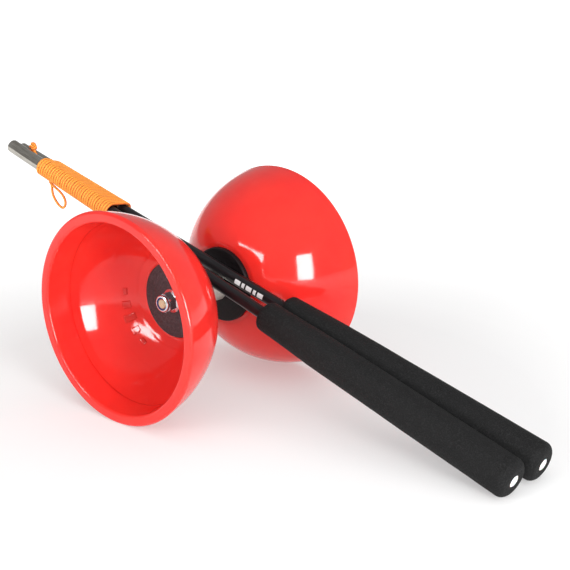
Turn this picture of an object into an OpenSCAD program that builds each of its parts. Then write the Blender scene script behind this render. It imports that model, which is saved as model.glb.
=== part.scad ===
/* [Cups] */
// Outside diameter of each cup at its mouth, mm
cup_d = 120; // [118:1:124]
// Distance between the two cup mouths along the axle, mm
spool_length = 136; // [134:1:140]
// Thickness of the cup's bowl, mm
bowl_wall = 3.4; // [2.8:0.1:3.8]
// Inside diameter of the thick lip at the mouth, mm
lip_inner_d = 107.4; // [104:0.2:110]
// Depth of the straight lip wall inside the mouth, mm
lip_depth = 15; // [12:0.5:18]

/* [Hub] */
// Distance from the middle of the axle to the face of each outer hub disc, mm
hub_face = 15.0; // [15:0.1:15.6]
// Diameter of the outer hub discs, mm
hub_d = 43.4; // [40:0.2:44]
// Thickness of the outer hub discs, mm
hub_disc_t = 2.8; // [2.4:0.1:3]
// Thickness of the cup's flat bottom, mm
cup_floor_t = 3; // [2.6:0.1:3.4]
// Diameter of the discs inside the cups, mm
inner_disc_d = 43.3; // [40:0.1:44]
// Thickness of the discs inside the cups, mm
inner_disc_t = 2.2; // [1.8:0.1:2.6]

/* [Axle and bearings] */
// Diameter of the threaded axle stud, mm
stud_d = 5.9; // [5.8:0.05:6]
// Outside diameter of the string sleeve at its ends, mm
sleeve_d = 16; // [15:0.2:16.4]
// Diameter of the string sleeve at its waist, mm
sleeve_waist_d = 15.2; // [14.8:0.1:15.6]
// Length of the string sleeve, mm
sleeve_length = 24.8; // [24:0.2:25]
// Balls in each bearing
balls_per_bearing = 8; // [6:1:8]

/* [Handsticks] */
// Length of a handstick from the grip's end to the tip, mm
stick_length = 387; // [382:1:392]
// Diameter of the black stick shaft, mm
shaft_d = 7; // [6.6:0.1:7]
// Outside diameter of the metal tip tube, mm
tip_tube_d = 8; // [7.8:0.1:8.1]
// Length of the metal tip tube, mm
tip_tube_length = 86; // [80:1:88]
// Length of the foam grip, mm
grip_length = 172; // [165:1:180]
// Diameter of the grip near its rear end, mm
grip_rear_d = 22.2; // [21:0.2:22.2]
// Diameter of the grip's body near the front, mm
grip_front_d = 20.3; // [19:0.1:20.3]

/* [String] */
// Diameter of the string, mm
string_d = 1.6; // [1.4:0.1:1.6]
// Thickness of the string where it is wound tight, mm
wound_t = 1.4; // [1.2:0.1:1.4]
// Distance from one turn of the winding to the next, mm
turn_pitch = 1.94; // [1.8:0.02:1.94]
// Number of turns round both tips
turns = 32; // [24:1:32]
// Distance from the grips' ends to the start of the winding, mm
winding_start = 296; // [294:0.5:296]

/* [Hidden] */

// the axle runs along X; the origin is on the floor under the middle of the whole object
axle_h = cup_d / 2;
axle_y = 32.5;
mouth = spool_length / 2;
lip_r = cup_d / 2;
lip_in = lip_inner_d / 2;

hub_back = hub_face + hub_disc_t;
floor_in = hub_back + cup_floor_t;
disc_in = floor_in + inner_disc_t;

// bearings are 6 x 13 x 5 mm, three along the sleeve
brg_w = 5;
brg_pitch = 8;
brg_pcr = 4.75;
ball_r = 1.1;
race_r = 1.2;

// handstick attitudes: where the grip ends lie and how the sticks rise over the axle
near_end = [-1.0, -217.5, -50.4];
far_end = [25.1, -217.0, -50.34];
near_yaw = 91.19;
near_rise = 16.79;
far_yaw = 94.05;
far_rise = 16.27;

$fn = 96;

/* ---------- helpers ---------- */

module on_axle() translate([0, axle_y, axle_h]) rotate([0, 90, 0]) children();
module on_axle_left() translate([0, axle_y, axle_h]) mirror([1, 0, 0]) rotate([0, 90, 0]) children();

function dir_of(yaw, rise) = [cos(yaw) * cos(rise), sin(yaw) * cos(rise), sin(rise)];
near_dir = dir_of(near_yaw, near_rise);
far_dir = dir_of(far_yaw, far_rise);
base = [0, axle_y, axle_h];

module near_stick() translate(base + near_end) rotate([0, 0, near_yaw]) rotate([0, 90 - near_rise, 0]) children();
module far_stick() translate(base + far_end) rotate([0, 0, far_yaw]) rotate([0, 90 - far_rise, 0]) children();

// cubic curve through four control points
function bz(a, b, c, d, t) = pow(1 - t, 3) * a + 3 * pow(1 - t, 2) * t * b + 3 * (1 - t) * t * t * c + t * t * t * d;
function bz1(a, b, c, d, t) = 3 * pow(1 - t, 2) * (b - a) + 6 * (1 - t) * t * (c - b) + 3 * t * t * (d - c);
// [radius, distance along the axle] of the bowl's outside, from the hub to the lip
o0 = [24.5, hub_back];
o1 = [36.6, hub_back + 4.0];
o2 = [54.6, hub_back + 19.4];
o3 = [lip_r - 0.5, mouth - 3.5];
function outer_pt(t) = bz(o0, o1, o2, o3, t);
function inward(t) = let (d = bz1(o0, o1, o2, o3, t)) [-d[1], d[0]] / norm(d);
function inner_pt(t) = outer_pt(t) + bowl_wall * inward(t);

function arc(cx, cy, r, a0, a1, n) = [for (i = [0:n]) let (a = a0 + (a1 - a0) * i / n) [cx + r * cos(a), cy + r * sin(a)]];

// half section of a cup in [radius, distance along the axle]
module cup_section() {
    t_end = 0.76;
    crease = mouth - lip_depth;
    polygon(concat(
        [[8, hub_back], [23.2, hub_back]],
        [for (i = [0:22]) outer_pt(i / 22)],
        arc(lip_r - 1.8, mouth - 1.8, 1.8, 0, 90, 6),
        arc(lip_in + 1.6, mouth - 1.6, 1.6, 90, 180, 6),
        [[lip_in - 2.1, crease + 0.8], [lip_in - 1.9, crease], [lip_in - 1.5, crease - 0.5]],
        [for (i = [20:-1:1]) let (p = inner_pt(t_end * i / 20)) if (p[1] < crease - 1 && p[1] > floor_in + 0.1) p],
        [[inner_disc_d / 2 + 0.9, floor_in], [8, floor_in]]
    ));
}

module cup() rotate_extrude($fn = 160) cup_section();

// outer hub disc: a flat round plate with a rounded edge and a boss that centres the cup
module hub_disc() {
    rotate_extrude() polygon(concat(
        [[3.05, hub_face], [hub_d / 2 - 1.0, hub_face]],
        arc(hub_d / 2 - 1.0, hub_face + 1.0, 1.0, -90, 0, 5),
        [[hub_d / 2, hub_back], [7.9, hub_back], [7.9, floor_in - 0.1], [3.05, floor_in - 0.1]]
    ));
}

module inner_disc() {
    rotate_extrude() polygon(concat(
        [[3.05, floor_in], [inner_disc_d / 2, floor_in]],
        arc(inner_disc_d / 2 - 0.7, disc_in - 0.7, 0.7, 0, 90, 5),
        [[3.05, disc_in]]
    ));
}

// flange lock nut, 10 mm across flats, with a rolled collar that holds the nylon ring
module lock_nut() {
    difference() {
        union() {
            translate([0, 0, disc_in]) cylinder(r = 6.7, h = 1.0);
            translate([0, 0, disc_in + 1.0]) cylinder(r1 = 6.7, r2 = 5.2, h = 1.1);
            intersection() {
                translate([0, 0, disc_in + 0.5]) cylinder(r = 10 / sqrt(3), h = 6.1, $fn = 6);
                translate([0, 0, disc_in + 0.5]) cylinder(r1 = 8.5, r2 = 5.35, h = 6.1);
            }
            rotate_extrude() polygon(concat(
                [[2.95, disc_in + 5], [4.95, disc_in + 5], [4.95, disc_in + 7.6]],
                arc(4.05, disc_in + 7.7, 0.9, 0, 90, 5),
                [[3.75, disc_in + 8.6], [3.75, disc_in + 6.2], [2.95, disc_in + 6.2]]
            ));
        }
        translate([0, 0, disc_in - 1]) cylinder(r = 2.97, h = 12);
        translate([0, 0, disc_in + 6.2]) cylinder(r = 3.75, h = 4);
    }
}

module nylon_insert() {
    difference() {
        translate([0, 0, disc_in + 6.25]) cylinder(r = 3.72, h = 1.75);
        translate([0, 0, disc_in]) cylinder(r = 2.97, h = 12);
    }
}

module axle_stud() {
    end = disc_in + 8.4;
    color("burlywood") on_axle() rotate_extrude() polygon([
        [0, -end], [stud_d / 2 - 0.5, -end], [stud_d / 2, -end + 0.5],
        [stud_d / 2, end - 0.5], [stud_d / 2 - 0.5, end], [0, end]]);
}

// stepped washer: the small step bears on the inner race, the large one on the hub disc
module thrust_washer() {
    s0 = brg_pitch + brg_w / 2;
    g = sleeve_length / 2 + 0.4;
    rotate_extrude() polygon([
        [3.05, s0], [4.0, s0], [4.0, g], [sleeve_d / 2 - 0.3, g], [sleeve_d / 2, g + 0.3],
        [sleeve_d / 2, hub_face], [3.05, hub_face]]);
}

module tube_x(r_out, r_in, x0, x1) on_axle() translate([0, 0, x0]) difference() {
    cylinder(r = r_out, h = x1 - x0);
    translate([0, 0, -1]) cylinder(r = r_in, h = x1 - x0 + 2);
}

// inner spacers sit between the inner races, outer spacers between the outer races
module inner_spacers() color("silver") {
    tube_x(4.0, 3.05, -brg_pitch + brg_w / 2, -brg_w / 2);
    tube_x(4.0, 3.05, brg_w / 2, brg_pitch - brg_w / 2);
}
module outer_spacers() color("silver") {
    tube_x(6.48, 5.5, -brg_pitch + brg_w / 2, -brg_w / 2);
    tube_x(6.48, 5.5, brg_w / 2, brg_pitch - brg_w / 2);
}

module inner_race(x) color("silver") on_axle() translate([0, 0, x]) difference() {
    translate([0, 0, -brg_w / 2]) cylinder(r = 4.1, h = brg_w);
    translate([0, 0, -brg_w]) cylinder(r = 3.0, h = 2 * brg_w);
    rotate_extrude() translate([brg_pcr, 0]) circle(r = race_r, $fn = 32);
}

module outer_race(x) color("silver") on_axle() translate([0, 0, x]) difference() {
    translate([0, 0, -brg_w / 2]) cylinder(r = 6.48, h = brg_w);
    translate([0, 0, -brg_w]) cylinder(r = 5.4, h = 2 * brg_w);
    rotate_extrude() translate([brg_pcr, 0]) circle(r = race_r, $fn = 32);
}

module balls(x) color("gainsboro") on_axle() translate([0, 0, x])
    for (i = [0:balls_per_bearing - 1]) rotate([0, 0, 360 / balls_per_bearing * i]) translate([brg_pcr, 0, 0]) sphere(r = ball_r, $fn = 32);

module ball_cage(x) color("goldenrod") on_axle() translate([0, 0, x]) difference() {
    translate([0, 0, -1.6]) cylinder(r = brg_pcr + 0.3, h = 3.2);
    translate([0, 0, -3]) cylinder(r = brg_pcr - 0.3, h = 6);
    for (i = [0:balls_per_bearing - 1]) rotate([0, 0, 360 / balls_per_bearing * i]) translate([brg_pcr - 2, 0, 0]) rotate([0, 90, 0]) cylinder(r = ball_r + 0.1, h = 4, $fn = 24);
}

// one thin shield on each side of each bearing, pressed into the outer race
module bearing_shields() color("lightgray")
    for (x = [-brg_pitch, 0, brg_pitch]) for (s = [-1, 1])
        tube_x(5.39, 4.3, x + s * 2.15 - 0.15, x + s * 2.15 + 0.15);

// the sleeve that the string runs on, slightly waisted
module string_sleeve() {
    h = sleeve_length / 2;
    color("ivory") on_axle() rotate_extrude() polygon(concat(
        [[6.5, -h], [sleeve_d / 2 - 0.4, -h], [sleeve_d / 2, -h + 0.4]],
        [for (i = [-8:8]) let (u = i / 8) [sleeve_waist_d / 2 + (sleeve_d - sleeve_waist_d) / 2 * u * u, u * (h - 1.2)]],
        [[sleeve_d / 2, h - 0.4], [sleeve_d / 2 - 0.4, h], [6.5, h]]
    ));
}

module cup_left() color("red") on_axle_left() cup();
module cup_right() color("red") on_axle() cup();
module hub_disc_left() color("#231c20") on_axle_left() hub_disc();
module hub_disc_right() color("#231c20") on_axle() hub_disc();
module inner_disc_left() color("#3e3037") on_axle_left() inner_disc();
module inner_disc_right() color("#3e3037") on_axle() inner_disc();
module lock_nut_left() color("silver") on_axle_left() lock_nut();
module lock_nut_right() color("silver") on_axle() lock_nut();
module nylon_insert_left() color("midnightblue") on_axle_left() nylon_insert();
module nylon_insert_right() color("midnightblue") on_axle() nylon_insert();
module thrust_washer_left() color("lightgray") on_axle_left() thrust_washer();
module thrust_washer_right() color("lightgray") on_axle() thrust_washer();

/* ---------- handsticks, drawn along +Z from the grip's rear end ---------- */

module shaft() difference() {
    translate([0, 0, 1.2]) cylinder(d = shaft_d, h = stick_length - tip_tube_length + 28, $fn = 48);
    translate([0, 0, 0]) cylinder(r = 2.4, h = stick_length, $fn = 48);
}

// thin metal tube over the end of the shaft, with a rolled mouth, and a cross hole for the string where hole is not small
module tip_tube(hole) difference() {
    translate([0, 0, stick_length - tip_tube_length]) rotate_extrude($fn = 64) polygon([
        [3.52, 0], [tip_tube_d / 2 - 0.15, 0], [tip_tube_d / 2, 0.3],
        [tip_tube_d / 2, tip_tube_length - 0.7], [tip_tube_d / 2 - 0.25, tip_tube_length - 0.2],
        [tip_tube_d / 2 - 0.3, tip_tube_length], [3.6, tip_tube_length], [3.6, 31], [3.52, 30.9]]);
    translate([0, 0, stick_length - 9]) rotate([0, -90, 0]) cylinder(r = 1.25, h = hole, $fn = 24);
}

module grip() {
    rr = grip_rear_d / 2;
    rf = grip_front_d / 2;
    rotate_extrude($fn = 72) polygon(concat(
        [[3.52, 0], [rr - 4.5, 0]],
        arc(rr - 4.5, 4.5, 4.5, -90, 0, 8),
        [[rf, grip_length - 62], [rf - 0.4, grip_length - 38], [rf - 0.8, grip_length - 26], [rf - 1.2, grip_length - 15], [rf - 1.5, grip_length - 3]],
        arc(rf - 4.5, grip_length - 3.0, 3.0, 0, 90, 6),
        [[3.52, grip_length]]
    ));
}

// domed cap that closes the shaft, with a peg that plugs its bore
module end_plug() rotate_extrude($fn = 48) polygon([
    [0, -0.3], [1.8, -0.2], [2.9, 0.05], [3.45, 0.4], [3.45, 1.15], [2.35, 1.15], [2.35, 9], [0, 9]]);

module shaft_near() color("#1a181a") near_stick() shaft();
module shaft_far() color("#1a181a") far_stick() shaft();
module tip_tube_near() color("darkgray") near_stick() tip_tube(0.01);
module tip_tube_far() color("darkgray") far_stick() tip_tube(5);
module grip_near() color("#2a2a2a") near_stick() grip();
module grip_far() color("#2a2a2a") far_stick() grip();
module end_plug_near() color("white") near_stick() end_plug();
module end_plug_far() color("white") far_stick() end_plug();

/* ---------- string ---------- */

// the string is wound round both tip tubes side by side: one turn after another in a single layer
module string_winding() color("orange") difference() {
    hull() {
        near_stick() translate([0, 0, winding_start]) cylinder(r = tip_tube_d / 2 + 0.04 + wound_t, h = turns * turn_pitch, $fn = 48);
        far_stick() translate([0, 0, winding_start]) cylinder(r = tip_tube_d / 2 + 0.04 + wound_t, h = turns * turn_pitch, $fn = 48);
    }
    hull() {
        near_stick() translate([0, 0, winding_start - 3]) cylinder(r = tip_tube_d / 2 + 0.04, h = turns * turn_pitch + 6, $fn = 48);
        far_stick() translate([0, 0, winding_start - 3]) cylinder(r = tip_tube_d / 2 + 0.04, h = turns * turn_pitch + 6, $fn = 48);
    }
}

function sub(a, b) = a - b;
function unit(v) = v / norm(v);
// point on a stick: s along it, then offsets down (local X) and to the side (local Y)
function on_stick(e, yaw, rise, s, dx, dy) =
    base + e + s * dir_of(yaw, rise)
    + dx * [sin(rise) * cos(yaw), sin(rise) * sin(yaw), -cos(rise)]
    + dy * [-sin(yaw), cos(yaw), 0];

// round tube of 8 sides along a route, closed with flat ends
module cord_tube(pts, d) {
    n = len(pts);
    k = 8;
    function tan_at(i) = unit(pts[min(i + 1, n - 1)] - pts[max(i - 1, 0)]);
    function frame_n(i) = i == 0
        ? unit(cross(tan_at(0), abs(tan_at(0)[2]) < 0.9 ? [0, 0, 1] : [1, 0, 0]))
        : let (p = frame_n(i - 1), t = tan_at(i)) unit(p - (p * t) * t);
    ring = [for (i = [0:n - 1]) let (t = tan_at(i), u = frame_n(i), v = cross(t, u))
        [for (j = [0:k - 1]) pts[i] + d / 2 * (cos(360 * j / k) * u + sin(360 * j / k) * v)]];
    verts = [for (r = ring) for (p = r) p];
    faces = concat(
        [[for (j = [0:k - 1]) j]],
        [for (i = [0:n - 2]) for (j = [0:k - 1]) [i * k + j, (i + 1) * k + j, (i + 1) * k + (j + 1) % k, i * k + (j + 1) % k]],
        [[for (j = [k - 1:-1:0]) (n - 1) * k + j]]);
    polyhedron(verts, faces);
}

// lead: the stretch of string from the winding's end up to the knot, in the valley between the tip tubes
lead_pts = [for (q = [[359.2, -2.70, 4.05], [362, -2.9, 3.93], [366, -3.15, 3.73], [369, -3.35, 3.58], [371.5, -3.9, 3.3], [373.4, -4.75, 2.6]]) on_stick(far_end, far_yaw, far_rise, q[0], q[1], q[2])];
module string_lead() color("orange") cord_tube(lead_pts, string_d - 0.1);

// knot: a lump tied in the string against the cross hole of the far tip tube
module string_knot() color("orange") far_stick() {
    translate([-5.5, 2.0, 376.2]) sphere(r = 1.75, $fn = 24);
    translate([-5.9, 0.8, 374.8]) sphere(r = 1.5, $fn = 24);
    translate([-6.3, -0.4, 378.4]) sphere(r = 2.1, $fn = 24);
    translate([-7.3, 0.9, 377.2]) sphere(r = 1.6, $fn = 24);
}

// loop: the spare end hangs down under the winding, points relative to the middle of the axle
loop_route = [[-8.0, 118.3, 44.3], [-8.1, 117.9, 42.0], [-8.2, 117.6, 39.3], [-8.2, 116.9, 36.6], [-8.1, 115.1, 33.8], [-8.0, 112.8, 31.6],
    [-7.9, 110.8, 30.4], [-7.9, 108.9, 30.2], [-7.9, 107.1, 31.3], [-8.0, 106.1, 33.3], [-8.1, 106.4, 35.7], [-8.2, 108.1, 38.1],
    [-8.4, 110.6, 40.1], [-8.5, 113.2, 41.3], [-8.6, 115.2, 42.4]];
loop_pts = [for (p = loop_route) base + p];
module string_loop() color("orange") cord_tube(loop_pts, string_d - 0.1);

cup_left();
cup_right();
hub_disc_left();
hub_disc_right();
inner_disc_left();
inner_disc_right();
lock_nut_left();
lock_nut_right();
nylon_insert_left();
nylon_insert_right();
axle_stud();
thrust_washer_left();
thrust_washer_right();
inner_spacers();
inner_race(-brg_pitch);  // inner_race_left
inner_race(0);  // inner_race_middle
inner_race(brg_pitch);  // inner_race_right
string_sleeve();
outer_race(-brg_pitch);  // outer_race_left
outer_race(0);  // outer_race_middle
outer_race(brg_pitch);  // outer_race_right
outer_spacers();
bearing_shields();
balls(-brg_pitch);  // balls_left
balls(0);  // balls_middle
balls(brg_pitch);  // balls_right
ball_cage(-brg_pitch);  // ball_cage_left
ball_cage(0);  // ball_cage_middle
ball_cage(brg_pitch);  // ball_cage_right
shaft_near();
shaft_far();
tip_tube_near();
tip_tube_far();
grip_near();
grip_far();
end_plug_near();
end_plug_far();
string_winding();
string_lead();
string_knot();
string_loop();
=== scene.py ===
import bpy, bmesh, math
from mathutils import Vector, Matrix, noise


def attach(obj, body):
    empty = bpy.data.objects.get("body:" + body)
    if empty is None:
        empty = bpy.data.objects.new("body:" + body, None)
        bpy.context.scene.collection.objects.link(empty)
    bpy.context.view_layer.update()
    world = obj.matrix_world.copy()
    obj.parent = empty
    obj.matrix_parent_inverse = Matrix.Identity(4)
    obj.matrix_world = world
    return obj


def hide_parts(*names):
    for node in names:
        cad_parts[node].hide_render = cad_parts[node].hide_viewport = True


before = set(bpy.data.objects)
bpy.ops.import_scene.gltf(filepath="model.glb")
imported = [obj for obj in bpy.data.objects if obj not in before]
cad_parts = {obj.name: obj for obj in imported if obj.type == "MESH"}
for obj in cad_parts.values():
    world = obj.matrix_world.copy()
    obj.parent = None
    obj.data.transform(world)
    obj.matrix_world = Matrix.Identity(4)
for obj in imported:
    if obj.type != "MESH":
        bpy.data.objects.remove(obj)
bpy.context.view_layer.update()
MM = 0.001
AY, AZ = 32.5, 60.0            # the axle runs along X through this Y and Z, mm

# ------------------------------------------------------------------ camera
cam_data = bpy.data.cameras.new("camera")
cam = bpy.data.objects.new("camera", cam_data)
bpy.context.scene.collection.objects.link(cam)
cam_data.sensor_width = 36.0
cam_data.lens = 105.46
cam_data.clip_start = 0.05
cam_data.clip_end = 60.0
right = Vector((0.6710, -0.7414, 0.0)).normalized()
back = Vector((-0.7041, -0.6373, 0.3132)).normalized()
up = back.cross(right).normalized()
right = up.cross(back).normalized()
m = Matrix((right, up, back)).transposed().to_4x4()
m.translation = Vector((-0.63483, -0.60593, 0.35999))
cam.matrix_world = m
bpy.context.scene.camera = cam


# ------------------------------------------------------------------ mesh helpers (all in mm)
def add_mesh(name, verts, faces, smooth=True, sharp_deg=None):
    me = bpy.data.meshes.new(name)
    me.from_pydata([(v[0] * MM, v[1] * MM, v[2] * MM) for v in verts], [], faces)
    me.validate()
    bm = bmesh.new()
    bm.from_mesh(me)
    bmesh.ops.recalc_face_normals(bm, faces=bm.faces)
    for f in bm.faces:
        f.smooth = smooth
    if sharp_deg is not None:
        lim = math.radians(sharp_deg)
        for e in bm.edges:
            if len(e.link_faces) == 2 and e.calc_face_angle(0.0) > lim:
                e.smooth = False
    bm.to_mesh(me)
    bm.free()
    ob = bpy.data.objects.new(name, me)
    bpy.context.scene.collection.objects.link(ob)
    return ob


def revolve(name, prof, to_world, seg, sharp_deg=35, closed=True, bump=None):
    """prof: closed ring of (radius, along) points; to_world(radius, along, angle) -> point."""
    n = len(prof)
    verts = []
    for i in range(seg):
        a = 2 * math.pi * i / seg
        for k, (r, h) in enumerate(prof):
            if bump:
                r, h = bump(r, h, a)
            verts.append(to_world(r, h, a))
    faces = []
    last = n if closed else n - 1
    for i in range(seg):
        j = (i + 1) % seg
        for k in range(last):
            l = (k + 1) % n
            faces.append((i * n + k, j * n + k, j * n + l, i * n + l))
    return add_mesh(name, verts, faces, True, sharp_deg)


def arc(cx, cy, r, a0, a1, n):
    return [(cx + r * math.cos(math.radians(a0 + (a1 - a0) * i / n)), cy + r * math.sin(math.radians(a0 + (a1 - a0) * i / n))) for i in range(n + 1)]


def on_axle(side):
    return lambda r, x, a: (side * x, AY + r * math.cos(a), AZ + r * math.sin(a))


# ------------------------------------------------------------------ handstick frames
def stick_frame(end, yaw, rise):
    y, r = math.radians(yaw), math.radians(rise)
    o = Vector((end[0], end[1] + AY, end[2] + AZ))
    d = Vector((math.cos(y) * math.cos(r), math.sin(y) * math.cos(r), math.sin(r)))
    dx = Vector((math.sin(r) * math.cos(y), math.sin(r) * math.sin(y), -math.cos(r)))
    dy = Vector((-math.sin(y), math.cos(y), 0.0))
    return o, d, dx, dy


NEAR = stick_frame((-1.0, -217.5, -50.4), 91.19, 16.79)
FAR = stick_frame((25.1, -217.0, -50.34), 94.05, 16.27)
STICK_L = 387.0
W_START, PITCH, TURNS = 296.0, 1.94, 32
W_R = 4.74                     # centre of the wound string from each stick's axis
STR_D = 1.6


def on_stick(fr, s, x=0.0, y=0.0):
    o, d, dx, dy = fr
    return o + d * s + dx * x + dy * y


def stick_rev(fr):
    o, d, dx, dy = fr
    return lambda r, h, a: tuple(o + d * h + (dx * math.cos(a) + dy * math.sin(a)) * r)


def tube_mesh(name, pts, half_w, half_t, outward, sides=10, round_ends=True, strand=True):
    """Sweep an ellipse along pts. outward[i] is the direction of the thin axis."""
    n = len(pts)
    verts, faces, uv = [], [], []
    dist = [0.0]
    for i in range(1, n):
        dist.append(dist[-1] + (pts[i] - pts[i - 1]).length)
    rings = []
    for i in range(n):
        t = (pts[min(i + 1, n - 1)] - pts[max(i - 1, 0)]).normalized()
        w = outward[i] - t * outward[i].dot(t)
        w.normalize()
        b = t.cross(w).normalized()
        rings.append((pts[i], t, w, b, 1.0, dist[i]))
    if round_ends:
        head, tail = [], []
        for q in (0.12, 0.45, 0.75, 0.93):
            p, t, w, b, _, u = rings[0]
            back_off = half_t * math.sqrt(max(0.0, 1 - q * q))
            head.append((p - t * back_off, t, w, b, q, u - back_off))
        for q in (0.93, 0.75, 0.45, 0.12):
            p, t, w, b, _, u = rings[-1]
            fwd = half_t * math.sqrt(max(0.0, 1 - q * q))
            tail.append((p + t * fwd, t, w, b, q, u + fwd))
        rings = head + rings + tail
    for p, t, w, b, q, u in rings:
        for k in range(sides):
            a = 2 * math.pi * k / sides
            verts.append(tuple(p + w * (half_t * q * math.cos(a)) + b * (half_w * q * math.sin(a))))
            uv.append((u, k / sides))
    nr = len(rings)
    for i in range(nr - 1):
        for k in range(sides):
            l = (k + 1) % sides
            faces.append((i * sides + k, (i + 1) * sides + k, (i + 1) * sides + l, i * sides + l))
    faces.append(tuple(range(sides)))
    faces.append(tuple((nr - 1) * sides + k for k in reversed(range(sides))))
    ob = add_mesh(name, verts, faces, True, None)
    if strand:
        at = ob.data.attributes.new("strand", 'FLOAT_VECTOR', 'POINT')
        for i, (u, v) in enumerate(uv):
            at.data[i].vector = (u, v, 0.0)
    return ob


def catmull(points, per):
    P = [Vector(p) for p in points]
    P = [P[0] * 2 - P[1]] + P + [P[-1] * 2 - P[-2]]
    out = []
    for i in range(1, len(P) - 2):
        a, b, c, d = P[i - 1], P[i], P[i + 1], P[i + 2]
        for k in range(per):
            t = k / per
            out.append(0.5 * ((2 * b) + (c - a) * t + (2 * a - 5 * b + 4 * c - d) * t * t + (3 * b - a - 3 * c + d) * t ** 3))
    out.append(P[-2].copy())
    return out


# ------------------------------------------------------------------ the string
def winding_point(s, u, rc=W_R):
    """u in turns: 0 = middle of the underside, going round the near stick first."""
    N, F = on_stick(NEAR, s), on_stick(FAR, s)
    d = (NEAR[1] + FAR[1]).normalized()
    v = F - N
    v = v - d * v.dot(d)
    S = v.length
    e1 = v.normalized()
    e2 = d.cross(e1)
    if e2.z < 0:
        e2 = -e2
    half = math.pi * rc
    per = 2 * half + 2 * S
    t = (u % 1.0) * per
    if t < S / 2:                                   # underside, towards the near stick
        c = N + e1 * (S / 2 - t); return c - e2 * rc, -e2
    t -= S / 2
    if t < half:                                    # round the near stick
        a = t / rc
        n = -e2 * math.cos(a) - e1 * math.sin(a); return N + n * rc, n
    t -= half
    if t < S:                                       # over the top, towards the far stick
        return N + e1 * t + e2 * rc, e2
    t -= S
    if t < half:
        a = t / rc
        n = e2 * math.cos(a) + e1 * math.sin(a); return F + n * rc, n
    t -= half
    return F - e1 * t - e2 * rc, -e2


path, outw = [], []
STEP = 40
total_turns = TURNS - 1 + 0.5                       # ends over the top, between the sticks
cnt = int(total_turns * STEP)
for i in range(cnt + 1):
    u = i / STEP
    s = W_START + 0.98 + PITCH * u
    jit = 0.05 * math.sin(u * 2.399) + 0.03 * math.sin(u * 17.0)
    p, n = winding_point(s, u, W_R + 0.012 * math.sin(u * 5.1))
    p = p + NEAR[1] * jit
    path.append(p); outw.append(n)
# the lead: off the last turn, into the valley between the tip tubes, up to the knot
s_end = W_START + 0.98 + PITCH * total_turns
tail_pts = [path[-3], path[-1],
            on_stick(FAR, s_end + 0.9, -4.6, 4.2), on_stick(FAR, s_end + 2.2, -3.3, 4.05),
            on_stick(FAR, s_end + 5.0, -2.95, 3.9), on_stick(FAR, s_end + 9.0, -3.2, 3.7), on_stick(FAR, s_end + 13.2, -3.7, 3.35),
            on_stick(FAR, s_end + 16.2, -4.9, 2.3)]
tp = catmull(tail_pts, 8)[9:]
for p in tp:
    path.append(p); outw.append(outw[cnt].lerp(-FAR[2], min(1.0, (p - path[cnt]).length / 4.0)).normalized())
string = tube_mesh("string_cord", path, 0.93, 0.74, outw, 12)
length = sum((path[i + 1] - path[i]).length for i in range(len(path) - 1)) * MM


def trefoil(scale, lift):
    pts = []
    n = 110
    for i in range(n + 1):
        t = 2 * math.pi * (i / n) * 0.985
        x = (math.sin(t) + 2 * math.sin(2 * t)) / 3
        y = (math.cos(t) - 2 * math.cos(2 * t)) / 3
        z = -math.sin(3 * t)
        pts.append(Vector((x * scale, y * scale, z * lift)))
    return pts


kp = [on_stick(FAR, 376.4 + p.x, -6.0 - p.z, 1.3 + p.y) for p in trefoil(2.0, 0.75)]
knot = tube_mesh("string_knot_lump", kp, 0.78, 0.78, [(-FAR[2]) for _ in kp], 10)
bp = catmull([on_stick(FAR, 375.6, -6.0, 0.4), on_stick(FAR, 376.8, -6.9, -0.2), on_stick(FAR, 378.3, -7.2, -0.6), on_stick(FAR, 379.7, -6.6, -0.7)], 7)
bead = tube_mesh("string_knot_tail", bp, 0.95, 0.95, [FAR[3] for _ in bp], 10)
hp = catmull([on_stick(FAR, 376.9, -5.9, 1.3), on_stick(FAR, 377.7, -5.4, 0.7), on_stick(FAR, 378.0, -4.4, 0.1), on_stick(FAR, 378.0, -3.6, 0.0)], 6)
hole_end = tube_mesh("string_into_hole", hp, 0.8, 0.8, [FAR[3] for _ in hp], 10)

loop_route = [(-8.0, 118.3, 44.3), (-8.1, 117.9, 42.0), (-8.2, 117.6, 39.3), (-8.2, 116.9, 36.6), (-8.1, 115.1, 33.8), (-8.0, 112.8, 31.6),
              (-7.9, 110.8, 30.4), (-7.9, 108.9, 30.2), (-7.9, 107.1, 31.3), (-8.0, 106.1, 33.3), (-8.1, 106.4, 35.7), (-8.2, 108.1, 38.1),
              (-8.4, 110.6, 40.1), (-8.5, 113.2, 41.3), (-8.6, 115.2, 42.4)]
lp = [Vector((x, y + AY, z + AZ)) for x, y, z in loop_route]
lp = [lp[0] + Vector((0.0, 0.2, 0.9))] + lp + [lp[-1] + Vector((0.1, 2.4, 0.9)), lp[-1] + Vector((0.5, 4.2, 1.9))]
lpath = catmull(lp, 6)
loop = tube_mesh("string_loop_cord", lpath, 0.74, 0.74, [Vector((1, 0, 0)) for _ in lpath], 10)
loop_len = sum((lpath[i + 1] - lpath[i]).length for i in range(len(lpath) - 1)) * MM

for ob in (string, knot, bead, hole_end, loop):
    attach(ob, "handsticks")
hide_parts("string_winding", "string_lead")
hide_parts("string_knot")
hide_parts("string_loop")
print("string length", round(length, 4), "loop length", round(loop_len, 4))


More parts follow.
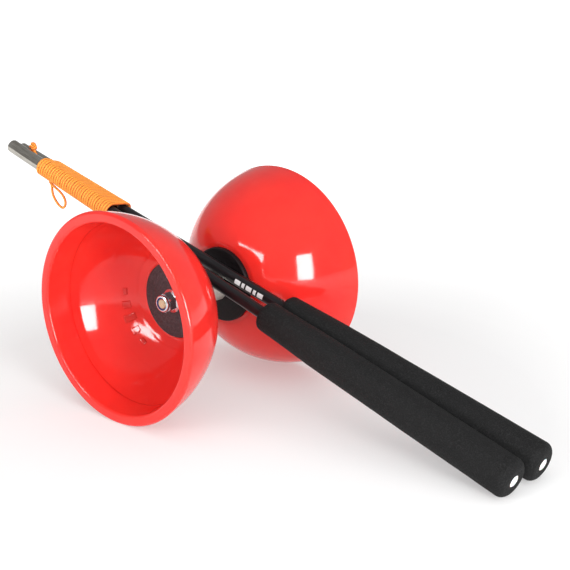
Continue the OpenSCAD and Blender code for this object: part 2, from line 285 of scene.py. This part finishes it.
# ------------------------------------------------------------------ materials
class NT:
    """Small helper for building node materials."""
    def __init__(self, name):
        self.m = bpy.data.materials.new(name)
        self.m.use_nodes = True
        self.t = self.m.node_tree
        self.t.nodes.clear()
        self.out = self.n("ShaderNodeOutputMaterial")
        self.b = self.n("ShaderNodeBsdfPrincipled")
        self.t.links.new(self.b.outputs[0], self.out.inputs[0])

    def n(self, kind, **props):
        nd = self.t.nodes.new(kind)
        for k, v in props.items():
            setattr(nd, k, v)
        return nd

    def link(self, a, b):
        self.t.links.new(a, b)

    def val(self, a, b):
        """Put a number, a colour or another node's output into a socket."""
        if hasattr(a, "links"):
            self.link(a, b)
        else:
            b.default_value = a

    def math(self, op, a, b=None, c=None):
        nd = self.n("ShaderNodeMath", operation=op)
        self.val(a, nd.inputs[0])
        if b is not None:
            self.val(b, nd.inputs[1])
        if c is not None:
            self.val(c, nd.inputs[2])
        return nd.outputs[0]

    def obj(self):
        return self.n("ShaderNodeTexCoord").outputs["Object"]

    def noise(self, scale, detail=3.0, rough=0.5, vec=None, dist=0.0):
        nd = self.n("ShaderNodeTexNoise")
        self.link(vec if vec is not None else self.obj(), nd.inputs["Vector"])
        nd.inputs["Scale"].default_value = scale
        nd.inputs["Detail"].default_value = detail
        nd.inputs["Roughness"].default_value = rough
        nd.inputs["Distortion"].default_value = dist
        return nd.outputs[0]

    def voronoi(self, scale, vec=None, feature='F1'):
        nd = self.n("ShaderNodeTexVoronoi", feature=feature)
        self.link(vec if vec is not None else self.obj(), nd.inputs["Vector"])
        nd.inputs["Scale"].default_value = scale
        return nd.outputs["Distance"]

    def ramp(self, fac, stops):
        nd = self.n("ShaderNodeValToRGB")
        self.link(fac, nd.inputs[0])
        el = nd.color_ramp.elements
        while len(el) < len(stops):
            el.new(0.5)
        for e, (p, c) in zip(el, stops):
            e.position = p
            e.color = c if len(c) == 4 else (*c, 1.0)
        return nd.outputs[0]

    def maprange(self, v, a, b, c, d):
        nd = self.n("ShaderNodeMapRange")
        self.link(v, nd.inputs[0])
        for i, x in enumerate((a, b, c, d)):
            nd.inputs[1 + i].default_value = x
        return nd.outputs[0]

    def bump(self, height, strength, distance, under=None):
        nd = self.n("ShaderNodeBump")
        self.link(height, nd.inputs["Height"])
        nd.inputs["Strength"].default_value = strength
        nd.inputs["Distance"].default_value = distance
        if under is not None:
            self.link(under, nd.inputs["Normal"])
        return nd.outputs[0]

    def mix(self, fac, a, b):
        nd = self.n("ShaderNodeMix", data_type='RGBA')
        self.val(fac, nd.inputs[0])
        self.val(a, nd.inputs[6])
        self.val(b, nd.inputs[7])
        return nd.outputs[2]

    def set(self, **kw):
        names = {"base": "Base Color", "rough": "Roughness", "metal": "Metallic", "ior": "IOR", "spec": "Specular IOR Level", "normal": "Normal",
                 "coat": "Coat Weight", "coat_rough": "Coat Roughness", "coat_ior": "Coat IOR", "coat_normal": "Coat Normal", "sss": "Subsurface Weight",
                 "sss_scale": "Subsurface Scale", "sss_radius": "Subsurface Radius", "sheen": "Sheen Weight", "sheen_rough": "Sheen Roughness",
                 "aniso": "Anisotropic", "emit": "Emission Color", "emit_strength": "Emission Strength"}
        for k, v in kw.items():
            self.val(v, self.b.inputs[names[k]])
        return self.m


def axle_radius(nt):
    sep = nt.n("ShaderNodeSeparateXYZ")
    nt.link(nt.obj(), sep.inputs[0])
    dy = nt.math('SUBTRACT', sep.outputs[1], AY * MM)
    dz = nt.math('SUBTRACT', sep.outputs[2], AZ * MM)
    r = nt.math('SQRT', nt.math('ADD', nt.math('MULTIPLY', dy, dy), nt.math('MULTIPLY', dz, dz)))
    return r, dy, dz, sep.outputs[0]


def make_cup_red():
    nt = NT("cup_red_plastic")
    r, dy, dz, x = axle_radius(nt)
    cloud = nt.noise(26.0, 3.0, 0.55)
    base = nt.ramp(cloud, [(0.25, (0.69, 0.020, 0.018)), (0.75, (0.745, 0.033, 0.023))])
    flow = nt.noise(9.0, 2.0, 0.5)
    scuff = nt.noise(420.0, 6.0, 0.7)
    rough = nt.maprange(scuff, 0.3, 0.8, 0.07, 0.13)
    turn = nt.math('SINE', nt.math('MULTIPLY', r, 5200.0))
    fine = nt.math('ADD', nt.math('MULTIPLY', turn, 0.10), nt.math('MULTIPLY', scuff, 0.5))
    big = nt.bump(flow, 0.22, 0.0009)
    nrm = nt.bump(fine, 0.16, 0.00004, big)
    return nt.set(base=base, rough=rough, ior=1.49, spec=0.36, normal=nrm, coat=0.08, coat_rough=0.035, coat_ior=1.45, coat_normal=big,
                  sss=0.34, sss_scale=0.006, sss_radius=(1.0, 0.10, 0.06))


def make_disc(name, dark, light, rough0, rough1, ring_freq, ring_amp, grain, spec=0.5):
    nt = NT(name)
    r, dy, dz, x = axle_radius(nt)
    g = nt.noise(grain, 5.0, 0.75)
    blot = nt.noise(60.0, 2.0, 0.5)
    base = nt.mix(nt.maprange(g, 0.35, 0.75, 0.0, 1.0), (*dark, 1.0), (*light, 1.0))
    base = nt.mix(nt.maprange(blot, 0.35, 0.7, 0.0, 0.35), base, (*dark, 1.0))
    ring = nt.math('SINE', nt.math('ADD', nt.math('MULTIPLY', r, ring_freq), nt.math('MULTIPLY', blot, 3.0)))
    h = nt.math('ADD', nt.math('MULTIPLY', ring, ring_amp), g)
    rough = nt.maprange(g, 0.3, 0.8, rough0, rough1)
    return nt.set(base=base, rough=rough, spec=spec, normal=nt.bump(h, 0.55, 0.00018))


def make_metal(name, col, rough0, rough1, scratch=900.0, axis_rings=0.0, metal=1.0, tint=None):
    nt = NT(name)
    c = nt.noise(300.0, 4.0, 0.6)
    base = nt.mix(nt.maprange(c, 0.3, 0.75, 0.0, 1.0), (*col, 1.0), (*(tint or tuple(v * 0.78 for v in col)), 1.0))
    sc = nt.noise(scratch, 3.0, 0.6)
    h = sc
    if axis_rings:
        sep = nt.n("ShaderNodeSeparateXYZ")
        nt.link(nt.obj(), sep.inputs[0])
        h = nt.math('ADD', nt.math('MULTIPLY', nt.math('SINE', nt.math('MULTIPLY', sep.outputs[0], axis_rings)), 0.6), sc)
    return nt.set(base=base, metal=metal, rough=nt.maprange(sc, 0.3, 0.8, rough0, rough1), normal=nt.bump(h, 0.25, 0.00003))


def along_stick(nt, fr):
    """(distance along the stick, height over its axis, side) in metres, as node outputs."""
    sub = nt.n("ShaderNodeVectorMath", operation='SUBTRACT')
    nt.link(nt.obj(), sub.inputs[0])
    sub.inputs[1].default_value = tuple(fr[0] * MM)
    outs = []
    for d in (fr[1], fr[2], fr[3]):
        dot = nt.n("ShaderNodeVectorMath", operation='DOT_PRODUCT')
        nt.link(sub.outputs[0], dot.inputs[0])
        dot.inputs[1].default_value = tuple(d)
        outs.append(dot.outputs["Value"])
    comb = nt.n("ShaderNodeCombineXYZ")
    for i in range(3):
        nt.link(outs[i], comb.inputs[i])
    return outs[0], outs[1], outs[2], comb.outputs[0]


def make_tip(name, fr):
    nt = NT(name)
    s, x, y, v = along_stick(nt, fr)
    sc = nt.n("ShaderNodeVectorMath", operation='MULTIPLY')
    nt.link(v, sc.inputs[0])
    sc.inputs[1].default_value = (90.0, 2600.0, 2600.0)
    draw = nt.noise(1.0, 4.0, 0.6, vec=sc.outputs[0])
    stain = nt.noise(220.0, 4.0, 0.6)
    base = nt.ramp(nt.math('ADD', nt.math('MULTIPLY', draw, 0.7), nt.math('MULTIPLY', stain, 0.3)),
                   [(0.30, (0.22, 0.20, 0.17)), (0.52, (0.42, 0.40, 0.36)), (0.75, (0.62, 0.60, 0.56))])
    return nt.set(base=base, metal=1.0, rough=nt.maprange(stain, 0.3, 0.8, 0.07, 0.13), normal=nt.bump(draw, 0.07, 0.00005))


def make_shaft(name, fr):
    nt = NT(name)
    s, x, y, v = along_stick(nt, fr)
    sc = nt.n("ShaderNodeVectorMath", operation='MULTIPLY')
    nt.link(v, sc.inputs[0])
    sc.inputs[1].default_value = (60.0, 1500.0, 1500.0)
    fib = nt.noise(1.0, 4.0, 0.6, vec=sc.outputs[0])
    base = nt.ramp(fib, [(0.3, (0.005, 0.0045, 0.005)), (0.7, (0.014, 0.012, 0.014))])
    return nt.set(base=base, rough=nt.maprange(fib, 0.3, 0.7, 0.26, 0.40), spec=0.28, normal=nt.bump(fib, 0.2, 0.00005), coat=0.08, coat_rough=0.12)


def make_foam(name):
    nt = NT(name)
    cell = nt.voronoi(1500.0)
    grain = nt.noise(2600.0, 3.0, 0.7)
    big = nt.noise(70.0, 3.0, 0.6)
    base = nt.ramp(nt.math('ADD', nt.math('MULTIPLY', grain, 0.6), nt.math('MULTIPLY', cell, 0.5)),
                   [(0.30, (0.003, 0.003, 0.0031)), (0.55, (0.0075, 0.0075, 0.0077)), (0.85, (0.022, 0.022, 0.0225))])
    base = nt.mix(nt.maprange(big, 0.35, 0.75, 0.0, 0.4), base, (0.010, 0.010, 0.0103, 1.0))
    h = nt.math('ADD', nt.math('MULTIPLY', cell, 0.8), grain)
    low = nt.bump(big, 0.3, 0.0008)
    return nt.set(base=base, rough=nt.maprange(grain, 0.3, 0.8, 0.62, 0.85), spec=0.12, normal=nt.bump(h, 0.9, 0.00034, low), sheen=0.01, sheen_rough=0.5)


def make_string():
    nt = NT("string_braid")
    at = nt.n("ShaderNodeAttribute", attribute_name="strand")
    sep = nt.n("ShaderNodeSeparateXYZ")
    nt.link(at.outputs["Vector"], sep.inputs[0])
    u, v = sep.outputs[0], sep.outputs[1]
    a = nt.math('SINE', nt.math('ADD', nt.math('MULTIPLY', u, 3.9), nt.math('MULTIPLY', v, 6 * math.pi)))
    b = nt.math('SINE', nt.math('SUBTRACT', nt.math('MULTIPLY', u, 3.9), nt.math('MULTIPLY', v, 6 * math.pi)))
    braid = nt.math('MAXIMUM', a, b)
    fuzz = nt.noise(2400.0, 3.0, 0.65)
    tone = nt.noise(130.0, 2.0, 0.5)
    base = nt.ramp(nt.math('ADD', nt.math('MULTIPLY', braid, 0.25), nt.math('MULTIPLY', fuzz, 0.75)),
                   [(0.20, (0.92, 0.24, 0.014)), (0.50, (1.0, 0.36, 0.036)), (0.80, (1.0, 0.45, 0.065))])
    base = nt.mix(nt.maprange(tone, 0.35, 0.7, 0.0, 0.3), base, (1.0, 0.37, 0.045, 1.0))
    # painted shade: the cord's two flanks, where neighbouring turns press together, are mixed towards a darker orange
    painted_turn_gap_shade = nt.math('ABSOLUTE', nt.math('SINE', nt.math('MULTIPLY', v, 2 * math.pi)))
    base = nt.mix(nt.maprange(painted_turn_gap_shade, 0.72, 0.98, 0.0, 0.85), base, (0.62, 0.075, 0.004, 1.0))
    h = nt.math('ADD', nt.math('MULTIPLY', braid, 0.6), nt.math('MULTIPLY', fuzz, 0.5))
    return nt.set(base=base, rough=0.62, spec=0.4, normal=nt.bump(h, 0.5, 0.00012), sss=0.05, sss_scale=0.0012, sss_radius=(1.0, 0.35, 0.08),
                  sheen=0.08, sheen_rough=0.4)


def make_plastic(name, c0, c1, rough0, rough1, sss=0.0):
    nt = NT(name)
    t = nt.noise(160.0, 3.0, 0.6)
    f = nt.noise(1300.0, 3.0, 0.6)
    base = nt.mix(nt.maprange(t, 0.3, 0.75, 0.0, 1.0), (*c0, 1.0), (*c1, 1.0))
    return nt.set(base=base, rough=nt.maprange(f, 0.3, 0.8, rough0, rough1), normal=nt.bump(f, 0.15, 0.00004), sss=sss, sss_scale=0.002)


MAT = {
    "cup": make_cup_red(),
    "hub": make_disc("hub_satin_black", (0.006, 0.0045, 0.005), (0.014, 0.011, 0.012), 0.36, 0.55, 3300.0, 0.10, 700.0, 0.16),
    "inner": make_disc("inner_disc_grain", (0.006, 0.0035, 0.0045), (0.095, 0.066, 0.076), 0.42, 0.68, 1900.0, 0.45, 900.0, 0.4),
    "nut": make_metal("nut_zinc_plate", (0.74, 0.74, 0.77), 0.14, 0.30, 1400.0),
    "nylon": make_plastic("nylon_ring_blue", (0.010, 0.016, 0.11), (0.018, 0.030, 0.17), 0.28, 0.42, 0.1),
    "stud": make_metal("stud_passivated_zinc", (0.70, 0.58, 0.38), 0.26, 0.42, 1600.0, 6283.0),
    "washer": make_metal("washer_turned_steel", (0.70, 0.70, 0.71), 0.18, 0.34, 1200.0, 9000.0),
    "race": make_metal("bearing_ground_steel", (0.72, 0.72, 0.75), 0.10, 0.20, 1800.0, 12000.0),
    "sleeve": make_metal("sleeve_satin_aluminium", (0.92, 0.88, 0.80), 0.30, 0.48, 1200.0, 7500.0, 0.75),
    "ball": make_metal("ball_polished_steel", (0.78, 0.78, 0.80), 0.05, 0.10, 2000.0),
    "cage": make_metal("cage_pressed_brass", (0.72, 0.52, 0.22), 0.25, 0.40, 1500.0),
    "shaft_near": make_shaft("shaft_glass_fibre_near", NEAR),
    "shaft_far": make_shaft("shaft_glass_fibre_far", FAR),
    "tip_near": make_tip("tip_tube_metal_near", NEAR),
    "tip_far": make_tip("tip_tube_metal_far", FAR),
    "foam": make_foam("grip_foam_black"),
    "plug": make_plastic("end_plug_white", (0.78, 0.78, 0.77), (0.86, 0.86, 0.85), 0.22, 0.36, 0.15),
    "string": make_string(),
    "ink": make_plastic("white_ink_marks", (0.74, 0.74, 0.74), (0.82, 0.82, 0.82), 0.35, 0.5),
}


def paint(ob, key):
    ob.data.materials.clear()
    ob.data.materials.append(MAT[key])


for ob in (string, knot, bead, hole_end, loop):
    paint(ob, "string")

NODE_MAT = {"hub_disc": "hub", "inner_disc": "inner", "lock_nut": "nut", "nylon_insert": "nylon", "axle_stud": "stud", "thrust_washer": "hub",
            "inner_spacers": "washer", "outer_spacers": "washer", "bearing_shields": "washer", "inner_race": "race", "outer_race": "race",
            "string_sleeve": "sleeve", "balls": "ball", "ball_cage": "cage", "shaft_near": "shaft_near", "shaft_far": "shaft_far",
            "tip_tube_near": "tip_near", "tip_tube_far": "tip_far", "end_plug": "plug", "cup": "cup", "grip": "foam", "string": "string"}
for name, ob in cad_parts.items():
    best = max((k for k in NODE_MAT if name.startswith(k)), key=len)
    for slot in ob.material_slots:
        slot.material = MAT[NODE_MAT[best]]


# ------------------------------------------------------------------ cups
HUB_BACK, FLOOR_IN = 17.8, 20.8
B0, B1, B2, B3 = (24.5, HUB_BACK), (36.6, HUB_BACK + 4.0), (54.6, HUB_BACK + 19.4), (59.5, 64.5)


def bez(t):
    q = 1 - t
    return tuple(q ** 3 * a + 3 * q * q * t * b + 3 * q * t * t * c + t ** 3 * d for a, b, c, d in zip(B0, B1, B2, B3))


def bez_in(t):
    q = 1 - t
    d = [3 * q * q * (b - a) + 6 * q * t * (c - b) + 3 * t * t * (e - c) for a, b, c, e in zip(B0, B1, B2, B3)]
    L = math.hypot(*d)
    p = bez(t)
    return (p[0] - 3.4 * d[1] / L, p[1] + 3.4 * d[0] / L)


def cup_profile():
    lip_in, crease, mouth = 53.7, 53.0, 68.0
    pr = [(8.0, HUB_BACK), (23.2, HUB_BACK)]
    pr += [bez(i / 70) for i in range(71)]
    pr += arc(60 - 1.8, mouth - 1.8, 1.8, 0, 90, 10)
    pr += arc(lip_in + 1.6, mouth - 1.6, 1.6, 90, 180, 10)
    a, b = (lip_in, mouth - 1.6), (lip_in - 2.1, crease + 0.8)
    pr += [(a[0] + (b[0] - a[0]) * i / 10, a[1] + (b[1] - a[1]) * i / 10) for i in range(1, 11)]
    pr += [(lip_in - 1.95, crease + 0.35), (lip_in - 1.9, crease), (lip_in - 1.75, crease - 0.3), (lip_in - 1.5, crease - 0.5)]
    for i in range(66, 0, -1):
        p = bez_in(0.76 * i / 66)
        if p[1] < crease - 1 and p[1] > FLOOR_IN + 0.1:
            r, x = p
            # shallow moulded step near the hub and a faint one halfway up
            x += 0.16 / (1 + math.exp(-(r - 28.6) * 5)) - 0.16 + 0.07 * math.exp(-((r - 41.0) / 0.5) ** 2)
            pr.append((r, x))
    pr += [(22.55, FLOOR_IN), (8.0, FLOOR_IN)]
    return pr


PROF = cup_profile()
for side, nm in ((-1, "cup_left"), (1, "cup_right")):
    c = revolve(nm + "_shell", PROF, on_axle(side), 320, 30)
    paint(c, "cup")
    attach(c, "spool")
    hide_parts(nm)


# raised plain bars in each bowl, moulded in, as a generic ornament
def bowl_x(r):
    lo, hi = 0.0, 0.76
    for _ in range(40):
        mid = (lo + hi) / 2
        if bez_in(mid)[0] < r:
            lo = mid
        else:
            hi = mid
    return bez_in((lo + hi) / 2)[1]


def raised_bar(name, side, r0, r1, a0, a1, h=0.28, edge=0.35):
    """A low pad that follows the bowl between two radii and two angles."""
    nr, na = 12, 14
    verts, faces = [], []

    def f(t, L):
        d = min(t, 1 - t) * L
        return min(1.0, d / edge)
    Lr, La = r1 - r0, math.radians(abs(a1 - a0)) * (r0 + r1) / 2
    for i in range(nr + 1):
        t = i / nr
        t = t * t * (3 - 2 * t)
        r = r0 + (r1 - r0) * t
        for j in range(na + 1):
            q = j / na
            q = q * q * (3 - 2 * q)
            a = math.radians(a0 + (a1 - a0) * q)
            k = min(f(t, Lr), f(q, La))
            k = k * k * (3 - 2 * k)
            lift = -0.12 + (h + 0.12) * k
            x = bowl_x(r)
            e = 0.05
            nx, nrr = e, bowl_x(r + e) - x
            L = math.hypot(nx, nrr)
            verts.append(on_axle(side)(r - nrr / L * lift, x + nx / L * lift, a))
    for i in range(nr):
        for j in range(na):
            p = i * (na + 1) + j
            faces.append((p, p + 1, p + na + 2, p + na + 1))
    base = len(verts)
    low = []
    for v in verts:
        low.append((v[0] - side * 0.35, v[1], v[2]))
    verts += low
    for i in range(nr):
        for j in range(na):
            p = base + i * (na + 1) + j
            faces.append((p, p + na + 1, p + na + 2, p + 1))
    ring = [j for j in range(na + 1)] + [i * (na + 1) + na for i in range(1, nr + 1)] + [nr * (na + 1) + j for j in range(na - 1, -1, -1)] + [i * (na + 1) for i in range(nr - 1, 0, -1)]
    for a, b in zip(ring, ring[1:] + ring[:1]):
        faces.append((a, b, base + b, base + a))
    ob = add_mesh(name, verts, faces, True, 50)
    paint(ob, "cup")
    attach(ob, "spool")
    return ob


for side, nm in ((-1, "left"), (1, "right")):
    for g, mid in enumerate((-28.0, 152.0)):
        for k in range(5):
            a = mid + (k - 2) * 13.0
            raised_bar(f"cup_{nm}_bar_{g}_{k}", side, 31.5 + 0.9 * abs(k - 2), 37.5 - 0.9 * abs(k - 2), a - 3.6, a + 3.6, 0.36)


# ------------------------------------------------------------------ grips
def grip_profile():
    rr, rf, L = 11.1, 10.15, 172.0
    pr = [(3.52, 0.0), (4.6, 0.0)]
    pr += arc(rr - 4.5, 4.5, 4.5, -90, 0, 16)
    n = 46
    keys = [(4.5, rr), (40, rr - 0.32), (L - 62, rf), (L - 38, rf - 0.4), (L - 26, rf - 0.8), (L - 15, rf - 1.2), (L - 3, rf - 1.5)]
    for i in range(1, n + 1):
        h = 4.5 + (L - 3 - 4.5) * i / n
        for (h0, r0), (h1, r1) in zip(keys, keys[1:]):
            if h0 <= h <= h1 + 1e-9:
                pr.append((r0 + (r1 - r0) * (h - h0) / (h1 - h0), h))
                break
    pr += arc(rf - 4.5, L - 3.0, 3.0, 0, 90, 10)[1:]
    pr += [(4.6, L), (3.52, L)]
    return pr


for fr, nm, seed in ((NEAR, "near", 3.0), (FAR, "far", 11.0)):
    def soft(r, h, a, seed=seed):
        if r < 5.0:
            return r, h
        v = noise.noise(Vector((h * 0.045 + seed, math.cos(a) * 0.8, math.sin(a) * 0.8)))
        w = noise.noise(Vector((h * 0.22 + seed * 2, math.cos(a) * 2.4, math.sin(a) * 2.4)))
        k = 1.0 if 6 < h < 165 else 0.4
        return r - 0.05 + k * (0.10 * v + 0.05 * w) - 0.05, h
    g = revolve(f"grip_{nm}_foam", grip_profile(), stick_rev(fr), 128, 60, True, soft)
    paint(g, "foam")
    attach(g, "handsticks")
    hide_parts(f"grip_{nm}")


# plain white dashes printed on the far stick
def dash(name, fr, s0, s1, a0, a1, r=3.53):
    ns, na = 10, 10
    verts, faces = [], []
    o, d, dx, dy = fr
    for lay, rad in enumerate((r, r - 0.06)):
        for i in range(ns + 1):
            for j in range(na + 1):
                a = math.radians(a0 + (a1 - a0) * j / na)
                verts.append(tuple(o + d * (s0 + (s1 - s0) * i / ns) + (dx * math.cos(a) + dy * math.sin(a)) * rad))
    nv = (ns + 1) * (na + 1)
    for i in range(ns):
        for j in range(na):
            p = i * (na + 1) + j
            faces.append((p, p + 1, p + na + 2, p + na + 1))
            q = p + nv
            faces.append((q, q + na + 1, q + na + 2, q + 1))
    ring = [j for j in range(na + 1)] + [i * (na + 1) + na for i in range(1, ns + 1)] + [ns * (na + 1) + j for j in range(na - 1, -1, -1)] + [i * (na + 1) for i in range(ns - 1, 0, -1)]
    for a, b in zip(ring, ring[1:] + ring[:1]):
        faces.append((a, b, nv + b, nv + a))
    ob = add_mesh(name, verts, faces, True, 40)
    paint(ob, "ink")
    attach(ob, "handsticks")
    return ob


for k, (s0, w) in enumerate(((186.6, 4.0), (191.8, 2.0), (195.0, 4.0), (200.2, 2.0), (203.4, 4.0))):
    dash(f"shaft_far_dash_{k}", FAR, s0, s0 + w, 74, 120)

# ------------------------------------------------------------------ floor, backdrop, light
def make_stage_mat(name, col, rough):
    nt = NT(name)
    c = nt.noise(3.0, 2.0, 0.5)
    base = nt.mix(nt.maprange(c, 0.3, 0.7, 0.0, 1.0), (*col, 1.0), (*(v * 0.985 for v in col), 1.0))
    sep = nt.n("ShaderNodeSeparateXYZ")
    nt.link(nt.obj(), sep.inputs[0])
    d = nt.math('SQRT', nt.math('ADD', nt.math('MULTIPLY', sep.outputs[0], sep.outputs[0]), nt.math('MULTIPLY', sep.outputs[1], sep.outputs[1])))
    # painted light: the floor glows at 0.35 near the object, lifting its cast shadows, rising to 0.85 further out to
    # whiten the far floor
    painted_floor_glow = nt.maprange(d, 0.17, 0.48, 0.35, 0.85)
    return nt.set(base=base, rough=rough, spec=0.2, emit=(1.0, 1.0, 1.0, 1.0), emit_strength=painted_floor_glow)


fl = add_mesh("floor", [(-9000, -9000, 0), (9000, -9000, 0), (9000, 9000, 0), (-9000, 9000, 0)], [(0, 1, 2, 3)], False)
fl.data.materials.append(make_stage_mat("floor_white", (0.58, 0.58, 0.58), 0.85))


def area(name, direction, dist, w, h, power, target=(0.0, AY * MM, AZ * MM), color=(1, 1, 1), spread=None):
    L = bpy.data.lights.new(name, 'AREA')
    L.shape = 'RECTANGLE'
    L.size, L.size_y = w, h
    L.energy = power
    L.color = color
    if spread:
        L.spread = math.radians(spread)
    ob = bpy.data.objects.new(name, L)
    bpy.context.scene.collection.objects.link(ob)
    d = Vector(direction).normalized()
    tgt = Vector(target)
    loc = tgt + d * dist
    z = d
    x = Vector((0, 0, 1)).cross(z)
    if x.length < 1e-3:
        x = Vector((1, 0, 0))
    x.normalize()
    y = z.cross(x)
    mm = Matrix((x, y, z)).transposed().to_4x4()
    mm.translation = loc
    ob.matrix_world = mm
    return ob


def dir_ae(az, el):
    a, e = math.radians(az), math.radians(el)
    return (math.cos(a) * math.cos(e), math.sin(a) * math.cos(e), math.sin(e))


area("window_front", dir_ae(-112, 12.0), 1.0, 0.30, 0.50, 8.6)
shine = area("window_front_shine", dir_ae(-112, 12.0), 1.01, 0.30, 0.50, 6.5)
shine.visible_diffuse = False
area("window_side", dir_ae(176, 22), 1.2, 0.80, 0.22, 5.2)
shine = area("window_side_shine", dir_ae(176, 22), 1.21, 0.76, 0.19, 6.5)
shine.visible_diffuse = False
top = area("overhead", dir_ae(-112, 68), 2.5, 4.0, 4.0, 40.0)
top.visible_glossy = False

world = bpy.data.worlds.new("studio")
bpy.context.scene.world = world
world.use_nodes = True
wt = world.node_tree
wt.nodes.clear()
wo = wt.nodes.new("ShaderNodeOutputWorld")
lp_ = wt.nodes.new("ShaderNodeLightPath")
mixw = wt.nodes.new("ShaderNodeMixShader")
bg_amb = wt.nodes.new("ShaderNodeBackground")
bg_cam = wt.nodes.new("ShaderNodeBackground")
bg_amb.inputs[0].default_value = (1, 1, 1, 1)
bg_amb.inputs[1].default_value = 0.42
bg_cam.inputs[0].default_value = (1, 1, 1, 1)
bg_cam.inputs[1].default_value = 1.02
wt.links.new(lp_.outputs["Is Camera Ray"], mixw.inputs[0])
wt.links.new(bg_amb.outputs[0], mixw.inputs[1])
wt.links.new(bg_cam.outputs[0], mixw.inputs[2])
bg_gl = wt.nodes.new("ShaderNodeBackground")
bg_gl.inputs[0].default_value = (1, 1, 1, 1)
bg_gl.inputs[1].default_value = 0.42
mixg = wt.nodes.new("ShaderNodeMixShader")
wt.links.new(lp_.outputs["Is Glossy Ray"], mixg.inputs[0])
wt.links.new(mixw.outputs[0], mixg.inputs[1])
wt.links.new(bg_gl.outputs[0], mixg.inputs[2])
wt.links.new(mixg.outputs[0], wo.inputs[0])

bpy.context.scene.view_settings.view_transform = 'Standard'
bpy.context.scene.view_settings.look = 'None'
